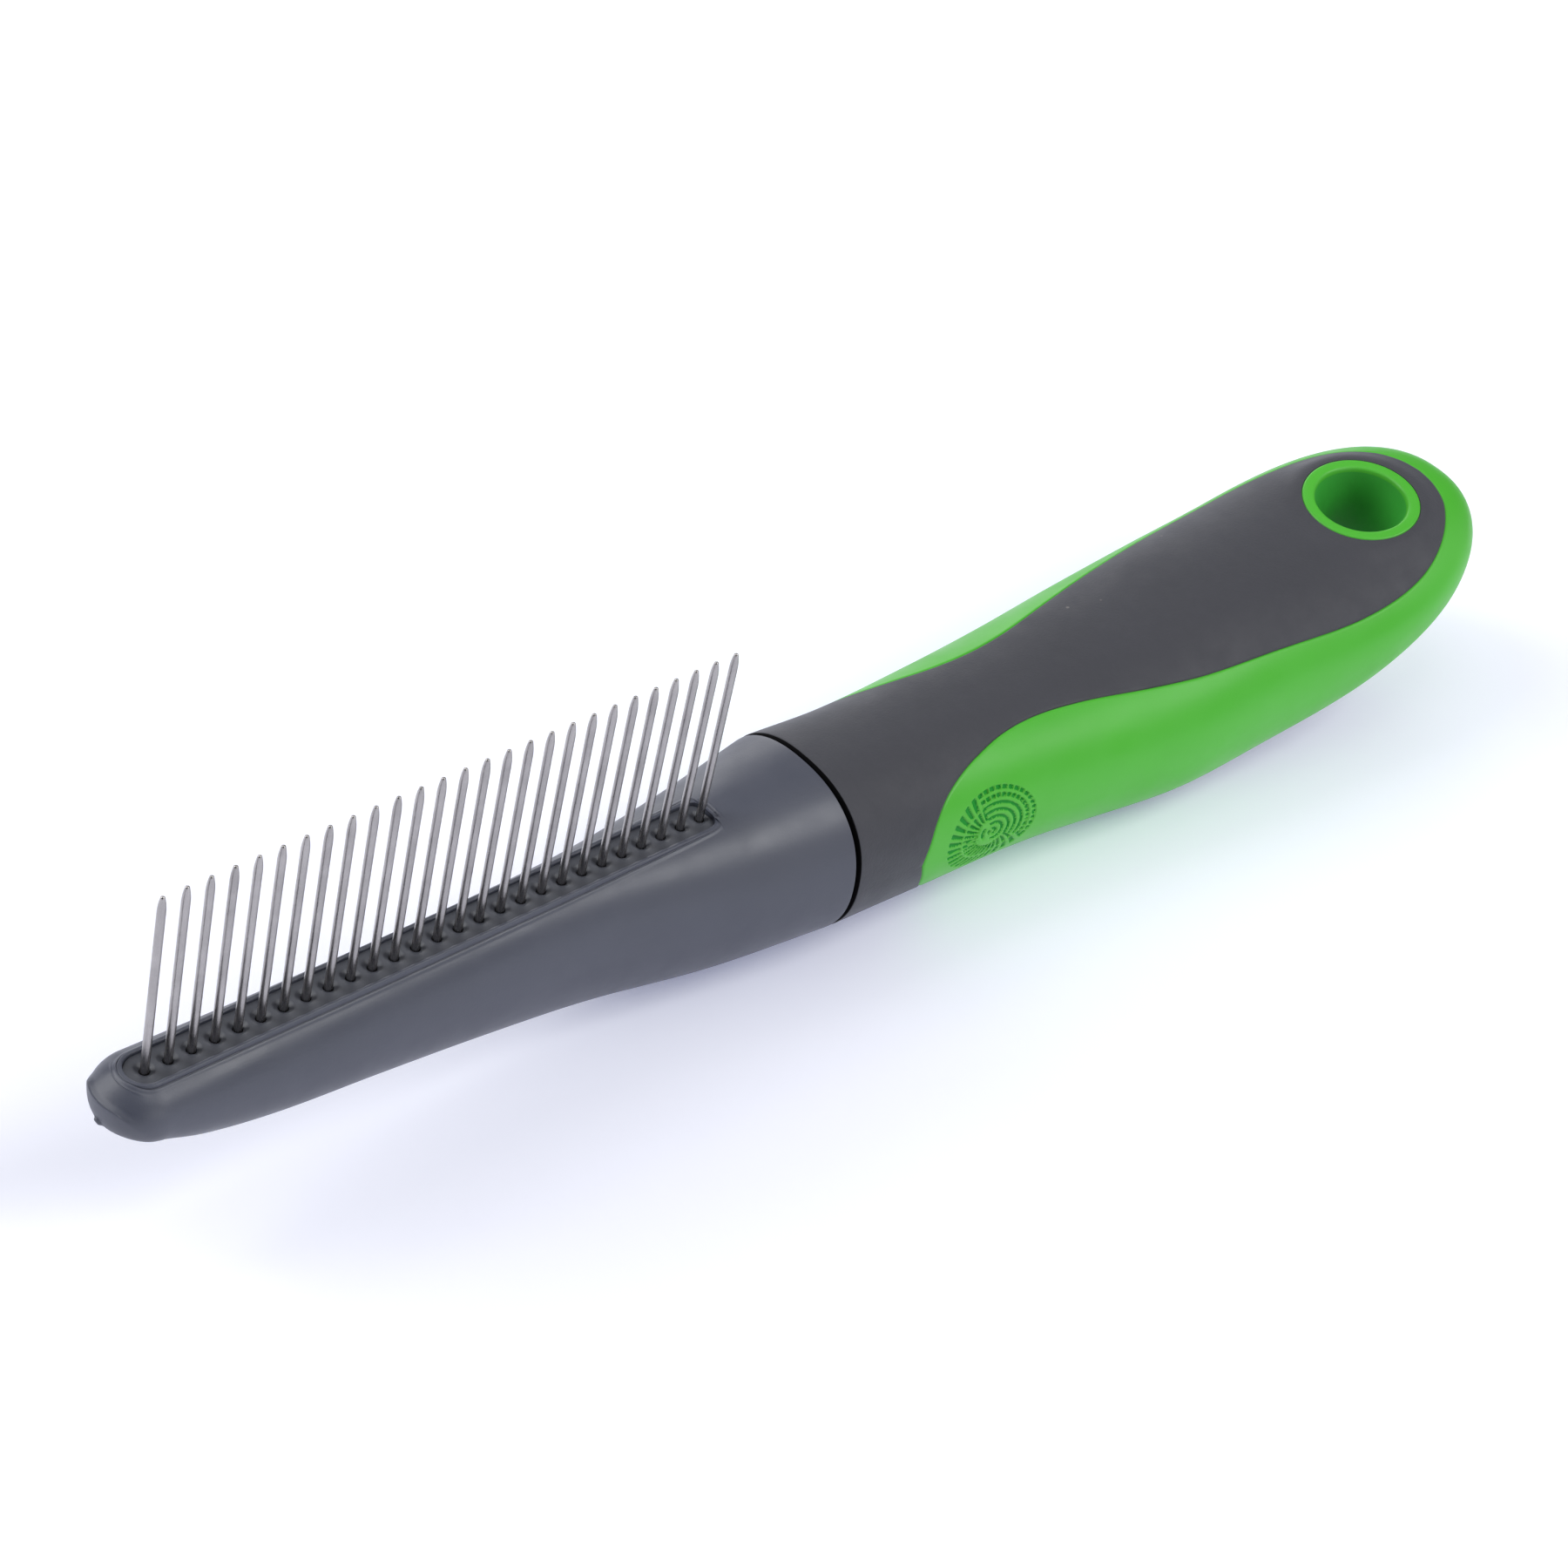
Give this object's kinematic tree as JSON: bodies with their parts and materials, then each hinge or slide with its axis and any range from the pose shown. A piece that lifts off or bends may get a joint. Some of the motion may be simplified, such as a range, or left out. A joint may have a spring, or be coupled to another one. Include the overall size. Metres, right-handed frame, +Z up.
{
  "type": "deshedding comb",
  "caption": "Pet comb with one row of freely spinning steel pins in a tapering plastic head, on a soft-grip handle with hard side panels and a hang hole at the tail.",
  "frame": {"origin": "on the surface that the comb lies on, below the middle of its length", "axes": "+X along the comb from the nose of the head to the tail of the handle, +Z up along the pins, +Y to the left, across the comb"},
  "size_m": [0.1988, 0.0308, 0.043],
  "materials": {
    "pin_steel": "drawn steel wire, satin, with a ground tip",
    "strip_steel": "plain cut strip",
    "head_plastic": "satin moulded, blue grey",
    "bed_plastic": "satin moulded, blue grey",
    "green_plastic": "satin moulded, leaf green",
    "soft_grip": "matte soft-touch overmould, warm dark grey"
  },
  "bodies": {
    "comb": {"head_shell": "head_plastic", "pin_rail": "bed_plastic", "backing_strip": "strip_steel", "handle_core": "green_plastic", "grip_sleeve": "soft_grip"},
    "pin_01": {"pin_01": "pin_steel"},
    "pin_02": {"pin_02": "pin_steel"},
    "pin_03": {"pin_03": "pin_steel"},
    "pin_04": {"pin_04": "pin_steel"},
    "pin_05": {"pin_05": "pin_steel"},
    "pin_06": {"pin_06": "pin_steel"},
    "pin_07": {"pin_07": "pin_steel"},
    "pin_08": {"pin_08": "pin_steel"},
    "pin_09": {"pin_09": "pin_steel"},
    "pin_10": {"pin_10": "pin_steel"},
    "pin_11": {"pin_11": "pin_steel"},
    "pin_12": {"pin_12": "pin_steel"},
    "pin_13": {"pin_13": "pin_steel"},
    "pin_14": {"pin_14": "pin_steel"},
    "pin_15": {"pin_15": "pin_steel"},
    "pin_16": {"pin_16": "pin_steel"},
    "pin_17": {"pin_17": "pin_steel"},
    "pin_18": {"pin_18": "pin_steel"},
    "pin_19": {"pin_19": "pin_steel"},
    "pin_20": {"pin_20": "pin_steel"},
    "pin_21": {"pin_21": "pin_steel"},
    "pin_22": {"pin_22": "pin_steel"},
    "pin_23": {"pin_23": "pin_steel"},
    "pin_24": {"pin_24": "pin_steel"},
    "pin_25": {"pin_25": "pin_steel"},
    "pin_26": {"pin_26": "pin_steel"},
    "pin_27": {"pin_27": "pin_steel"}
  },
  "joints": [
    {"name": "pin_01_spin", "type": "hinge", "parent": "comb", "child": "pin_01", "pos_m": [-0.09415, 0, 0.02055], "axis": [0, 0, 1], "continuous": true},
    {"name": "pin_02_spin", "type": "hinge", "parent": "comb", "child": "pin_02", "pos_m": [-0.09145, 0, 0.02055], "axis": [0, 0, 1], "continuous": true},
    {"name": "pin_03_spin", "type": "hinge", "parent": "comb", "child": "pin_03", "pos_m": [-0.08875, 0, 0.02055], "axis": [0, 0, 1], "continuous": true},
    {"name": "pin_04_spin", "type": "hinge", "parent": "comb", "child": "pin_04", "pos_m": [-0.08605, 0, 0.02055], "axis": [0, 0, 1], "continuous": true},
    {"name": "pin_05_spin", "type": "hinge", "parent": "comb", "child": "pin_05", "pos_m": [-0.08335, 0, 0.02055], "axis": [0, 0, 1], "continuous": true},
    {"name": "pin_06_spin", "type": "hinge", "parent": "comb", "child": "pin_06", "pos_m": [-0.08065, 0, 0.02055], "axis": [0, 0, 1], "continuous": true},
    {"name": "pin_07_spin", "type": "hinge", "parent": "comb", "child": "pin_07", "pos_m": [-0.07795, 0, 0.02055], "axis": [0, 0, 1], "continuous": true},
    {"name": "pin_08_spin", "type": "hinge", "parent": "comb", "child": "pin_08", "pos_m": [-0.07525, 0, 0.02055], "axis": [0, 0, 1], "continuous": true},
    {"name": "pin_09_spin", "type": "hinge", "parent": "comb", "child": "pin_09", "pos_m": [-0.07255, 0, 0.02055], "axis": [0, 0, 1], "continuous": true},
    {"name": "pin_10_spin", "type": "hinge", "parent": "comb", "child": "pin_10", "pos_m": [-0.06985, 0, 0.02055], "axis": [0, 0, 1], "continuous": true},
    {"name": "pin_11_spin", "type": "hinge", "parent": "comb", "child": "pin_11", "pos_m": [-0.06715, 0, 0.02055], "axis": [0, 0, 1], "continuous": true},
    {"name": "pin_12_spin", "type": "hinge", "parent": "comb", "child": "pin_12", "pos_m": [-0.06445, 0, 0.02055], "axis": [0, 0, 1], "continuous": true},
    {"name": "pin_13_spin", "type": "hinge", "parent": "comb", "child": "pin_13", "pos_m": [-0.06175, 0, 0.02055], "axis": [0, 0, 1], "continuous": true},
    {"name": "pin_14_spin", "type": "hinge", "parent": "comb", "child": "pin_14", "pos_m": [-0.05905, 0, 0.02055], "axis": [0, 0, 1], "continuous": true},
    {"name": "pin_15_spin", "type": "hinge", "parent": "comb", "child": "pin_15", "pos_m": [-0.05635, 0, 0.02055], "axis": [0, 0, 1], "continuous": true},
    {"name": "pin_16_spin", "type": "hinge", "parent": "comb", "child": "pin_16", "pos_m": [-0.05365, 0, 0.02055], "axis": [0, 0, 1], "continuous": true},
    {"name": "pin_17_spin", "type": "hinge", "parent": "comb", "child": "pin_17", "pos_m": [-0.05095, 0, 0.02055], "axis": [0, 0, 1], "continuous": true},
    {"name": "pin_18_spin", "type": "hinge", "parent": "comb", "child": "pin_18", "pos_m": [-0.04825, 0, 0.02055], "axis": [0, 0, 1], "continuous": true},
    {"name": "pin_19_spin", "type": "hinge", "parent": "comb", "child": "pin_19", "pos_m": [-0.04555, 0, 0.02055], "axis": [0, 0, 1], "continuous": true},
    {"name": "pin_20_spin", "type": "hinge", "parent": "comb", "child": "pin_20", "pos_m": [-0.04285, 0, 0.02055], "axis": [0, 0, 1], "continuous": true},
    {"name": "pin_21_spin", "type": "hinge", "parent": "comb", "child": "pin_21", "pos_m": [-0.04015, 0, 0.02055], "axis": [0, 0, 1], "continuous": true},
    {"name": "pin_22_spin", "type": "hinge", "parent": "comb", "child": "pin_22", "pos_m": [-0.03745, 0, 0.02055], "axis": [0, 0, 1], "continuous": true},
    {"name": "pin_23_spin", "type": "hinge", "parent": "comb", "child": "pin_23", "pos_m": [-0.03475, 0, 0.02055], "axis": [0, 0, 1], "continuous": true},
    {"name": "pin_24_spin", "type": "hinge", "parent": "comb", "child": "pin_24", "pos_m": [-0.03205, 0, 0.02055], "axis": [0, 0, 1], "continuous": true},
    {"name": "pin_25_spin", "type": "hinge", "parent": "comb", "child": "pin_25", "pos_m": [-0.02935, 0, 0.02055], "axis": [0, 0, 1], "continuous": true},
    {"name": "pin_26_spin", "type": "hinge", "parent": "comb", "child": "pin_26", "pos_m": [-0.02665, 0, 0.02055], "axis": [0, 0, 1], "continuous": true},
    {"name": "pin_27_spin", "type": "hinge", "parent": "comb", "child": "pin_27", "pos_m": [-0.02395, 0, 0.02055], "axis": [0, 0, 1], "continuous": true}
  ]
}
